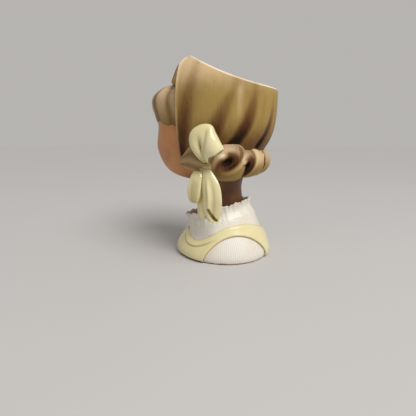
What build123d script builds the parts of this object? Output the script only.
from build123d import *

import os
from math import cos, pi, radians, sin, tan

# Head planter: a girl's head and shoulders in painted and glazed ceramic, open at the crown for a plant.
# Cast shells and hand-laid ribbon pieces, joined to each other with clay slip.
# Millimetres. +Z is up, the face looks along -Y, and the bow is on the +X side.
# The origin is the middle of the underside of the bust.

# Clay
WALL = 4.0  # thickness of the cast walls
SEAM = 0.2  # slip joint left between two pieces
SECTION_POINTS = 20  # points round each level cut of a cast shell

# Bust, which is turned about Z so that the head looks over its right shoulder
BUST_TURN = 71.0
BUST_ARM_REACH = 39.0  # half width from sleeve to sleeve
BUST_CHEST_REACH = 37.0  # half depth from chest to back
BUST_ROUNDING = 4.0  # height of the widest level above the foot
SHOULDER_HEIGHT = 18.0
SHOULDER_ARM_REACH = 34.6
SHOULDER_CHEST_REACH = 32.2
FOOT_INSET = 1.2  # how far the foot's edge is drawn in under the widest level
FOOT_RECESS_DEPTH = 1.2
FOOT_RING = 7.0  # width of the ring that the planter stands on
FLOOR_THICKNESS = 5.0

# Collar, on the sloping top face of the bust
COLLAR_HEIGHT = 27.0  # height of the middle of its seat
COLLAR_SHIFT = -1.5  # its middle lies towards the face
COLLAR_TILT = 16.0
COLLAR_RADIUS = 26.6
COLLAR_FLARE = 1.0  # growth of the radius from the seat to the frilled edge
COLLAR_RISE = 11.0
COLLAR_THICKNESS = 2.4
COLLAR_PLEATS = 16
COLLAR_PLEAT_DEPTH = 0.8
COLLAR_LEDGE = 1.0  # flat rim of the bust left outside the collar

# Jumper, a raised layer over the bust
JUMPER_THICKNESS = 1.4
JUMPER_HEM = 0.8  # height of its hem above the foot
# Neckline from chest to back: depth as a share of the chest's reach, and height
NECKLINE = (
    (-0.92, 15.4),
    (-0.81, 20.4),
    (-0.6, 26.0),
    (-0.32, 28.0),
    (0.14, 24.0),
    (0.49, 20.4),
    (0.9, 18.0),
)
SLEEVE_ARCH_ANGLE = 61.0  # from the middle of the chest to the middle of each arch
SLEEVE_ARCH_HEIGHT = 20.0
SLEEVE_ARCH_REACH = 26.8  # half width of the arch at the hem
SLEEVE_ARCH_DEPTH = 10.0  # distance from the bust's middle at which the arch stops

# Neck, part of the head casting
NECK_RADIUS = 16.0
NECK_SHIFT = 2.5  # its middle on the bust lies towards the nape
NECK_TILT = 8.0
NECK_LENGTH = 50.0
SOCKET_DEPTH = 2.5
SOCKET_LEDGE = 3.1  # thickness of the bust under the neck's end

# Head: an egg from chin to crown
CHIN_HEIGHT = 57.0
CROWN_HEIGHT = 150.0
HEAD_HALF_WIDTH = 36.0
FACE_REACH = 55.0  # from the origin's upright axis to the front of the face
HEAD_BACK = 36.0
NAPE_SHIFT = 22.0  # how far the egg's lower end lies towards the chin
WIDTH_SHAPE = (1.15, 2.4, 2.2)  # lean, power and root of each profile from chin to crown
FRONT_SHAPE = (0.75, 3.0, 2.4)
BACK_SHAPE = (1.4, 3.2, 1.8)
EGG_SHARES = (0.03, 0.08, 0.16, 0.26, 0.38, 0.5, 0.62, 0.74, 0.84, 0.92, 0.97)

# Hair hood, a casting that is seated on the head in three flat planes
HAIR_DEPTH = 4.0  # how far the hair stands proud of the head
HOOD_BASE = 74.0  # level seat, on the lower head
HOOD_FRONT = -20.0  # upright seat, against the back of the face
FACE_TOP = CROWN_HEIGHT - 25.0  # level seat, on the top of the face
CROWN_FRONT = -37.7  # foot of the hood's sloping front, on the top of the face
CROWN_LEAN = 22.8  # the front leans back by this angle
RIM_FRONT = (-26.0, CROWN_HEIGHT + 2.5)  # the mouth's edge seen from the side: depth and height
RIM_MIDDLE = (8.0, CROWN_HEIGHT - 16.5)
RIM_BACK = (41.0, CROWN_HEIGHT - 24.5)

# Face
NOSE_HEIGHT = 84.5
NOSE_RADIUS = 4.2
NOSE_RISE = 12.0  # from the tip up to the bridge

# Fringe, a puffed roll: height over the top of the face, and how far it stands proud of the head
FRINGE_PROFILE = (
    (-20.5, 0.9),
    (-15.5, 2.6),
    (-11.0, 4.3),
    (-7.0, 5.0),
    (-3.5, 4.5),
    (-0.5, 2.8),
    (2.0, 0.4),
    (4.2, -3.0),
    (5.6, -9.0),
)

# Curls at the nape
CURL_RADIUS = 10.5
CURL_RING = 26.5  # radius of the ring that the curls lie on
CURL_HEIGHTS = (HOOD_BASE + 0.5, HOOD_BASE - 2.5, HOOD_BASE - 3.5, HOOD_BASE - 2.5, HOOD_BASE + 0.5)
CURL_FIRST_ANGLE = 14.0  # where the ring of curls starts behind the bow
CURL_ROUNDING = 5.0
CURL_HOLLOW = 3.2  # radius of the rolled hollow on the outside of each curl

# Side locks, from the hood's lower front corner back to the bow: middle, and half thickness and half height
LOCK_LEVELS = (
    ((33.5, -18.5, HOOD_BASE - 0.5), (2.2, 2.4)),
    ((35.5, -8.0, HOOD_BASE + 3.0), (4.6, 8.5)),
    ((35.5, 2.0, HOOD_BASE + 0.5), (4.2, 6.5)),
)

# Bow
KNOT = (39.0, 4.0, HOOD_BASE - 2.0)
KNOT_RADIUS = 5.0
KNOT_WIDTH = 8.0
KNOT_TURN = 24.0  # slope of the knot's axis
RIBBON = 2.2  # thickness of a ribbon strip
# Upper loop, a fan over the knot: depth, foot and crest, all from the knot's middle
LOOP_FAN = ((-10.5, 14.5, 19.5), (-5.0, 8.0, 24.5), (1.0, 3.5, 26.5), (7.0, 5.0, 21.5), (12.5, 9.0, 13.5))
LOOP_SWELL = 5.0  # half thickness of the upper loop where it is longest
LOOP_STAND = 7.0  # how far its crest stands out from the knot
HANGING_LOOP_START = 4.0  # distance from the knot's middle at which the lower loop starts
HANGING_LOOP_LENGTH = 24.0
HANGING_LOOP_SWELL = 4.0
HANGING_LOOP_WIDTH = 8.4
HANGING_LOOP_STAND = 4.0
HANGING_LOOP_LEAN = 7.0  # it hangs towards the face
HANGING_LOOP_SHIFT = 4.0  # and starts this far towards the face
TAIL_IN = 3.0  # the tails lean in towards the collar
REAR_TAIL_LENGTH = 39.0
REAR_TAIL_SWING = 9.0  # towards the nape
REAR_TAIL_SIZE = (3.2, 6.8)  # half thickness and half width of its folded middle
FRONT_TAIL_LENGTH = 37.0
FRONT_TAIL_SWING = -7.0  # towards the face
FRONT_TAIL_WIDTH = 7.6

FAR = 200.0  # longer than the planter, for cutting bodies



def nodding_plane(shift, height, tilt):
    """Plane whose middle lies at a shift in Y and a height, and which slopes down towards the face."""
    normal = (0, -sin(radians(tilt)), cos(radians(tilt)))
    return Plane(origin=(0, shift, height), x_dir=(1, 0, 0), z_dir=normal)


SHOULDER_PLANE = nodding_plane(COLLAR_SHIFT / 2, SHOULDER_HEIGHT, COLLAR_TILT / 2)
COLLAR_PLANE = nodding_plane(COLLAR_SHIFT, COLLAR_HEIGHT, COLLAR_TILT)
NECK_PLANE = nodding_plane(NECK_SHIFT, COLLAR_HEIGHT, NECK_TILT)
BUST_SIDE = Plane.YZ.rotated((0, 0, BUST_TURN))  # seen from the left sleeve: chest to the left, up


def spline_face(plane, points):
    """Face inside one closed smooth curve through points of a plane."""
    with BuildSketch(plane) as section:
        with BuildLine():
            Spline(*points, periodic=True)
        make_face()
    return section.sketch


def bulge(share, lean, power, root):
    """Rounded profile, 0 at both ends and 1 at its fullest place, which lean moves."""
    return (1 - abs(2 * share**lean - 1) ** power) ** (1 / root)


def oval(half_width, front, back):
    """Points of an oval that reaches from front to back in Y."""
    middle = (back + front) / 2
    half_depth = (back - front) / 2
    turns = [2 * pi * k / SECTION_POINTS for k in range(SECTION_POINTS)]
    return [(half_width * sin(turn), middle - half_depth * cos(turn)) for turn in turns]


def egg_share(height, grow):
    """Share of the grown head's height at a height above the foot."""
    return (height - CHIN_HEIGHT + grow) / (CROWN_HEIGHT - CHIN_HEIGHT + 2 * grow)


def egg_outline(share, grow):
    """Level cut of the head at a share of its height, moved outwards by grow."""
    half_width = HEAD_HALF_WIDTH * bulge(share, *WIDTH_SHAPE) + grow
    front = -FACE_REACH * bulge(share, *FRONT_SHAPE) - grow
    back = (HEAD_BACK + NAPE_SHIFT) * bulge(share, *BACK_SHAPE) - NAPE_SHIFT + grow
    return oval(half_width, front, back)


def egg(grow):
    """Head shape as a solid, its surface moved outwards by grow."""
    height = CROWN_HEIGHT - CHIN_HEIGHT + 2 * grow
    with BuildPart() as shape:
        loft(
            [
                spline_face(Plane.XY.offset(CHIN_HEIGHT - grow + share * height), egg_outline(share, grow))
                for share in EGG_SHARES
            ]
        )
    return shape.part


def bust(grow):
    """Bust shape from the foot to the collar's seat, its sides moved outwards by grow."""
    seat_radius = COLLAR_RADIUS + COLLAR_LEDGE
    levels = [
        (Plane.XY, BUST_ARM_REACH - FOOT_INSET, BUST_CHEST_REACH - FOOT_INSET),
        (Plane.XY.offset(BUST_ROUNDING), BUST_ARM_REACH, BUST_CHEST_REACH),
        (SHOULDER_PLANE, SHOULDER_ARM_REACH, SHOULDER_CHEST_REACH),
        (COLLAR_PLANE, seat_radius, seat_radius),
    ]
    faces = []
    for plane, arm_reach, chest_reach in levels:
        points = oval(arm_reach + grow, -chest_reach - grow, chest_reach + grow)
        faces.append(spline_face(plane, [Vector(*point).rotate(Axis.Z, BUST_TURN) for point in points]))
    with BuildPart() as shape:
        loft(faces)
    return shape.part


def neck(grow):
    """Neck as a solid cylinder, cut off where it ends in the bust's socket."""
    with BuildPart() as shape:
        with BuildSketch(NECK_PLANE.offset(-NECK_RADIUS)):
            Circle(NECK_RADIUS + grow)
        extrude(amount=NECK_LENGTH + NECK_RADIUS)
        split(bisect_by=COLLAR_PLANE.offset(-SOCKET_DEPTH), keep=Keep.TOP)
    return shape.part


def head_shape(gap):
    """Head below the top of the face as a solid, moved outwards by gap."""
    with BuildPart() as shape:
        add(egg(gap))
        split(bisect_by=Plane.XY.offset(FACE_TOP - SEAM + gap), keep=Keep.BOTTOM)
    return shape.part


def beyond_seats(gap):
    """Space behind the hood's sloping front and its seats, which starts gap outside them."""
    slope = tan(radians(CROWN_LEAN))
    foot = CROWN_FRONT - gap / cos(radians(CROWN_LEAN))
    with BuildPart() as shape:
        with BuildSketch(Plane.YZ):
            with BuildLine():
                Polyline(
                    (HOOD_FRONT - gap, HOOD_BASE - gap),
                    (FAR, HOOD_BASE - gap),
                    (FAR, FAR),
                    (foot + slope * (FAR - FACE_TOP), FAR),
                    (foot - slope * gap, FACE_TOP - gap),
                    (HOOD_FRONT - gap, FACE_TOP - gap),
                    close=True,
                )
            make_face()
        extrude(amount=FAR, both=True)
    return shape.part


def hood_shape(gap):
    """Outside of the hair hood as a solid, moved outwards by gap."""
    with BuildPart() as shape:
        add(egg(HAIR_DEPTH + gap))
        add(beyond_seats(gap), mode=Mode.INTERSECT)
    return shape.part


# Solids that several pieces are cut by, each a slip joint larger than the piece itself
HEAD_CLEARANCE = head_shape(SEAM)
HOOD_CLEARANCE = hood_shape(SEAM)
NECK_CLEARANCE = neck(SEAM)

# Bust casting: hollow, with a foot ring below and a socket for the neck above
with BuildPart() as neck_bore:
    with BuildSketch(NECK_PLANE.offset(-COLLAR_HEIGHT + FLOOR_THICKNESS + WALL)):
        Circle(NECK_RADIUS - WALL)
    extrude(amount=NECK_LENGTH + COLLAR_HEIGHT - FLOOR_THICKNESS - WALL)

with BuildPart() as bust_hollow:
    add(bust(-WALL))
    split(bisect_by=Plane.XY.offset(FLOOR_THICKNESS), keep=Keep.TOP)
    split(bisect_by=COLLAR_PLANE.offset(-SOCKET_DEPTH - SOCKET_LEDGE), keep=Keep.BOTTOM)

with BuildPart() as bust_casting:
    add(bust(0))
    add(bust_hollow.part, mode=Mode.SUBTRACT)
    add(neck_bore.part, mode=Mode.SUBTRACT)
    add(NECK_CLEARANCE, mode=Mode.SUBTRACT)
    with BuildSketch(Plane.XY.rotated((0, 0, BUST_TURN))):
        Ellipse(BUST_ARM_REACH - FOOT_RING, BUST_CHEST_REACH - FOOT_RING)
    extrude(amount=FOOT_RECESS_DEPTH, mode=Mode.SUBTRACT)

# Jumper: a skin over the bust, cut by its neckline and by an arch at each sleeve
with BuildPart() as jumper:
    add(bust(JUMPER_THICKNESS + SEAM))
    add(bust(SEAM), mode=Mode.SUBTRACT)
    split(bisect_by=Plane.XY.offset(JUMPER_HEM), keep=Keep.TOP)
    neckline = [(share * BUST_CHEST_REACH, height) for share, height in NECKLINE]
    with BuildSketch(BUST_SIDE):
        with BuildLine():
            Spline(*neckline)
            Polyline(
                neckline[-1],
                (FAR, neckline[-1][1]),
                (FAR, FAR),
                (-FAR, FAR),
                (-FAR, neckline[0][1]),
                neckline[0],
            )
        make_face()
    extrude(amount=FAR, both=True, mode=Mode.SUBTRACT)
    for angle in (SLEEVE_ARCH_ANGLE, -SLEEVE_ARCH_ANGLE):
        arch_plane = Plane.YZ.rotated((0, 0, BUST_TURN - 90 + angle))
        with BuildSketch(arch_plane.offset(SLEEVE_ARCH_DEPTH)):
            Ellipse(SLEEVE_ARCH_REACH, SLEEVE_ARCH_HEIGHT)
        extrude(amount=FAR, mode=Mode.SUBTRACT)

# Collar: a pleated ring that flares to a frilled edge
def pleated_ring(rise, inset, depth):
    """Pleated closed curve round the collar at a height above its seat."""
    radius = COLLAR_RADIUS + COLLAR_FLARE * (rise / COLLAR_RISE) ** 2 - inset
    steps = 4 * COLLAR_PLEATS
    turns = [2 * pi * k / steps for k in range(steps)]
    waves = [radius + depth * (rise / COLLAR_RISE) * cos(COLLAR_PLEATS * turn) for turn in turns]
    return spline_face(
        COLLAR_PLANE.offset(rise), [(wave * cos(turn), wave * sin(turn)) for wave, turn in zip(waves, turns)]
    )


COLLAR_LEVELS = (SEAM, COLLAR_RISE / 2, COLLAR_RISE)
with BuildPart() as collar_frill:
    loft([pleated_ring(rise, 0, COLLAR_PLEAT_DEPTH) for rise in COLLAR_LEVELS])
    loft(
        [pleated_ring(rise, COLLAR_THICKNESS, COLLAR_PLEAT_DEPTH) for rise in COLLAR_LEVELS],
        mode=Mode.SUBTRACT,
    )
    add(NECK_CLEARANCE, mode=Mode.SUBTRACT)

# Head casting: face, lower head and neck, open behind and above for the hood
with BuildPart() as head_casting:
    add(head_shape(0))
    add(neck(0))
    nose_bridge = NOSE_HEIGHT + NOSE_RISE
    with BuildSketch(Plane.XY.offset(NOSE_HEIGHT - NOSE_RADIUS)) as nose_base:
        with Locations((0, -FACE_REACH + NOSE_RADIUS / 2)):
            Circle(NOSE_RADIUS * 0.7)
    with BuildSketch(Plane.XY.offset(NOSE_HEIGHT)) as nose_tip:
        with Locations((0, -FACE_REACH)):
            Circle(NOSE_RADIUS)
    with BuildSketch(Plane.XY.offset(nose_bridge)) as nose_top:
        with Locations((0, -FACE_REACH + NOSE_RADIUS)):
            Circle(NOSE_RADIUS / 2)
    loft([nose_base.sketch, nose_tip.sketch, nose_top.sketch])
    add(egg(-WALL), mode=Mode.SUBTRACT)
    add(neck_bore.part, mode=Mode.SUBTRACT)
    add(beyond_seats(SEAM), mode=Mode.SUBTRACT)

# Hair casting: the bowl of the planter, with flanges on both seats and a sloping mouth
with BuildPart() as bowl_space:
    add(egg(0))
    add(beyond_seats(-WALL), mode=Mode.INTERSECT)

with BuildPart() as face_passage:
    add(egg(-WALL))
    split(bisect_by=Plane.XY.offset(FACE_TOP), keep=Keep.BOTTOM)

with BuildPart() as hair_casting:
    add(hood_shape(0))
    add(face_passage.part, mode=Mode.SUBTRACT)
    add(bowl_space.part, mode=Mode.SUBTRACT)
    with BuildSketch(Plane.YZ):
        with BuildLine():
            ThreePointArc(RIM_FRONT, RIM_MIDDLE, RIM_BACK)
            Polyline(RIM_BACK, (FAR, RIM_BACK[1]), (FAR, FAR), (-FAR, FAR), (-FAR, RIM_FRONT[1]), RIM_FRONT)
        make_face()
    extrude(amount=FAR, both=True, mode=Mode.SUBTRACT)

# Fringe: it lies on the forehead and butts against the hood
with BuildPart() as fringe_roll:
    fringe_faces = []
    for rise, puff in FRINGE_PROFILE:
        height = FACE_TOP + rise
        fringe_faces.append(spline_face(Plane.XY.offset(height), egg_outline(egg_share(height, puff), puff)))
    loft(fringe_faces)
    split(bisect_by=Plane.XZ.offset(-HOOD_FRONT + SEAM), keep=Keep.TOP)
    add(HOOD_CLEARANCE, mode=Mode.SUBTRACT)
    add(HEAD_CLEARANCE, mode=Mode.SUBTRACT)

# Curls at the nape: rolled curls in a ring, fitted to the hood, the head and the neck
CURL_NAMES = ("left", "left_rear", "back", "right_rear", "right")
curl_sweep = (180 - 2 * CURL_FIRST_ANGLE) / len(CURL_NAMES)


def nape_curl(first_angle, height):
    """One rolled curl on the ring, from first_angle on, with a hollow in the middle of its outside."""
    middle = radians(first_angle + curl_sweep / 2)
    outside = CURL_RING + CURL_RADIUS
    with BuildPart() as curl:
        with BuildSketch(Plane.XZ.rotated((0, 0, first_angle))):
            with Locations((CURL_RING, height)):
                Circle(CURL_RADIUS)
        revolve(axis=Axis.Z, revolution_arc=curl_sweep)
        fillet(curl.faces().filter_by(GeomType.PLANE).edges(), CURL_ROUNDING)
        with Locations((outside * cos(middle), outside * sin(middle), height)):
            Sphere(CURL_HOLLOW, mode=Mode.SUBTRACT)
        add(HOOD_CLEARANCE, mode=Mode.SUBTRACT)
        add(HEAD_CLEARANCE, mode=Mode.SUBTRACT)
        add(NECK_CLEARANCE, mode=Mode.SUBTRACT)
    return curl


nape_curls = {
    f"nape_curl_{name}": nape_curl(CURL_FIRST_ANGLE + step * curl_sweep, CURL_HEIGHTS[step])
    for step, name in enumerate(CURL_NAMES)
}

# Side locks
def lock_section(side, middle, size, grow):
    """Oval cut of a lock, across the head, moved outwards by grow."""
    plane = Plane(origin=(side * middle[0], middle[1], middle[2]), x_dir=(1, 0, 0), z_dir=(0, -1, 0))
    return spline_face(plane, oval(size[0] + grow, -size[1] - grow, size[1] + grow))


def lock_shape(side, grow):
    """Lock of hair from the hood's corner to the bow, before it is fitted to the head."""
    with BuildPart() as shape:
        loft([lock_section(side, middle, size, grow) for middle, size in LOCK_LEVELS])
    return shape.part


def side_lock(side):
    """Lock of hair on the side of X that is named by its sign."""
    with BuildPart() as lock:
        add(lock_shape(side, 0))
        add(HOOD_CLEARANCE, mode=Mode.SUBTRACT)
        add(HEAD_CLEARANCE, mode=Mode.SUBTRACT)
        add(NECK_CLEARANCE, mode=Mode.SUBTRACT)
    return lock


side_lock_left = side_lock(1)
side_lock_right = side_lock(-1)

# Bow: a knot that holds two hollow loops and two tails
def knot_shape(grow):
    """Knot as a rounded barrel, moved outwards by grow."""
    with BuildPart() as shape:
        with Locations(KNOT):
            Cylinder(KNOT_RADIUS + grow, KNOT_WIDTH + 2 * grow, rotation=(90 - KNOT_TURN, 0, 0))
        fillet(shape.edges().filter_by(GeomType.CIRCLE), KNOT_RADIUS / 2)
    return shape.part


def loop_face(plane, foot, crest, swell, stand):
    """Cut of a filled ribbon loop from its foot to its crest, which stands out from the knot."""
    points = []
    for k in range(SECTION_POINTS):
        turn = 2 * pi * k / SECTION_POINTS
        climb = (1 - cos(turn)) / 2
        swelling = swell * sin(turn) * (0.45 + 0.8 * climb)
        points.append((stand * climb + swelling, foot + (crest - foot) * climb))
    return spline_face(plane, points)


def fan_block(levels, inset):
    """Filled upper loop, lofted from the face's side to the nape's, with its surface moved in by inset."""
    longest = max(crest - foot for depth, foot, crest in LOOP_FAN)
    highest = max(crest for depth, foot, crest in LOOP_FAN)
    faces = []
    for depth, foot, crest in levels:
        step = min(inset, (crest - foot) / 4)
        swell = LOOP_SWELL * (crest - foot) / longest - step * 0.8
        start = (KNOT[0] + LOOP_STAND * foot / highest, KNOT[1] + depth, KNOT[2])
        plane = Plane(origin=start, x_dir=(1, 0, 0), z_dir=(0, -1, 0))
        stand = LOOP_STAND * (crest - foot) / highest
        faces.append(loop_face(plane, foot + step, crest - step, swell, stand))
    with BuildPart() as shape:
        loft(faces)
    return shape.part


def hanging_block(inset, width):
    """Filled lower loop, extruded to both sides of its middle."""
    lean = radians(HANGING_LOOP_LEAN)
    start = (KNOT[0], KNOT[1] - HANGING_LOOP_SHIFT, KNOT[2])
    plane = Plane(origin=start, x_dir=(1, 0, 0), z_dir=(0, cos(lean), -sin(lean)))
    foot, crest = HANGING_LOOP_START + inset, HANGING_LOOP_LENGTH - inset
    with BuildPart() as shape:
        face = loop_face(plane, foot, crest, HANGING_LOOP_SWELL - inset, HANGING_LOOP_STAND)
        extrude(face, amount=width / 2, both=True)
    return shape.part


def ribbon_loop(outside, inside):
    """Hollow ribbon loop, fitted to what lies under it."""
    with BuildPart() as loop:
        add(outside)
        add(inside, mode=Mode.SUBTRACT)
        add(HOOD_CLEARANCE, mode=Mode.SUBTRACT)
        add(KNOT_CLEARANCE, mode=Mode.SUBTRACT)
        add(LOCK_CLEARANCE, mode=Mode.SUBTRACT)
        for curl in nape_curls.values():
            add(curl.part, mode=Mode.SUBTRACT)
    return loop


KNOT_CLEARANCE = knot_shape(SEAM)
LOCK_CLEARANCE = lock_shape(1, SEAM)
with BuildPart() as bow_knot:
    add(knot_shape(0))
    add(HOOD_CLEARANCE, mode=Mode.SUBTRACT)
    add(LOCK_CLEARANCE, mode=Mode.SUBTRACT)

last_depth, last_foot, last_crest = LOOP_FAN[-1]
loop_hollow = LOOP_FAN[1:-1] + ((last_depth + RIBBON, last_foot, last_crest),)
bow_upper_loop = ribbon_loop(fan_block(LOOP_FAN, 0), fan_block(loop_hollow, RIBBON))
hanging_hollow = hanging_block(RIBBON, HANGING_LOOP_WIDTH + RIBBON)
bow_lower_loop = ribbon_loop(hanging_block(0, HANGING_LOOP_WIDTH), hanging_hollow)
HANGING_CLEARANCE = hanging_block(-SEAM, HANGING_LOOP_WIDTH + 2 * SEAM)


def tail_loft(swing, levels):
    """Loft of ovals down a tail that swings towards the nape by an angle.

    Each level is a distance from the knot, a half thickness and a half width.
    """
    drop = Vector(-sin(radians(TAIL_IN)), sin(radians(swing)), -1).normalized()
    faces = []
    for distance, half_thickness, half_width in levels:
        plane = Plane(origin=Vector(*KNOT) + drop * distance, x_dir=(1, 0, 0), z_dir=drop)
        faces.append(spline_face(plane, oval(half_thickness, -half_width, half_width)))
    with BuildPart() as shape:
        loft(faces)
    return shape.part


def rear_tail_shape(grow):
    """Rear tail as a filled shape, moved outwards by grow."""
    thick = REAR_TAIL_SIZE[0] + grow
    wide = REAR_TAIL_SIZE[1] + grow
    shares = ((0, 0.5, 0.5), (0.3, 1, 0.95), (0.6, 1, 1), (1, 0.8, 0.62))
    levels = [(share * REAR_TAIL_LENGTH, thick * depth, wide * width) for share, depth, width in shares]
    return tail_loft(REAR_TAIL_SWING, levels)


slit_size = (REAR_TAIL_SIZE[0] - RIBBON, REAR_TAIL_SIZE[1] - RIBBON)
with BuildPart() as bow_rear_tail:
    add(rear_tail_shape(0))
    slit_levels = [
        (REAR_TAIL_LENGTH * 0.4, slit_size[0] * 0.5, slit_size[1] * 0.5),
        (REAR_TAIL_LENGTH * 0.7, slit_size[0], slit_size[1] * 0.8),
        (REAR_TAIL_LENGTH, slit_size[0] * 0.7, slit_size[1] * 0.5),
    ]
    add(tail_loft(REAR_TAIL_SWING, slit_levels), mode=Mode.SUBTRACT)
    add(KNOT_CLEARANCE, mode=Mode.SUBTRACT)
    add(HANGING_CLEARANCE, mode=Mode.SUBTRACT)

half_strip = RIBBON / 2
half_wide = FRONT_TAIL_WIDTH / 2
with BuildPart() as bow_front_tail:
    strip_levels = [(0, half_strip, half_wide / 2), (FRONT_TAIL_LENGTH, half_strip, half_wide)]
    add(tail_loft(FRONT_TAIL_SWING, strip_levels))
    add(KNOT_CLEARANCE, mode=Mode.SUBTRACT)
    add(HANGING_CLEARANCE, mode=Mode.SUBTRACT)
    add(rear_tail_shape(SEAM), mode=Mode.SUBTRACT)

PIECES = {
    "bust_casting": bust_casting,
    "jumper": jumper,
    "collar_frill": collar_frill,
    "head_casting": head_casting,
    "hair_casting": hair_casting,
    "fringe_roll": fringe_roll,
    "side_lock_left": side_lock_left,
    "side_lock_right": side_lock_right,
    **nape_curls,
    "bow_knot": bow_knot,
    "bow_upper_loop": bow_upper_loop,
    "bow_lower_loop": bow_lower_loop,
    "bow_front_tail": bow_front_tail,
    "bow_rear_tail": bow_rear_tail,
}

os.makedirs("parts", exist_ok=True)
for name, piece in PIECES.items():
    piece.part.label = name
    export_step(piece.part, f"parts/{name}.step")
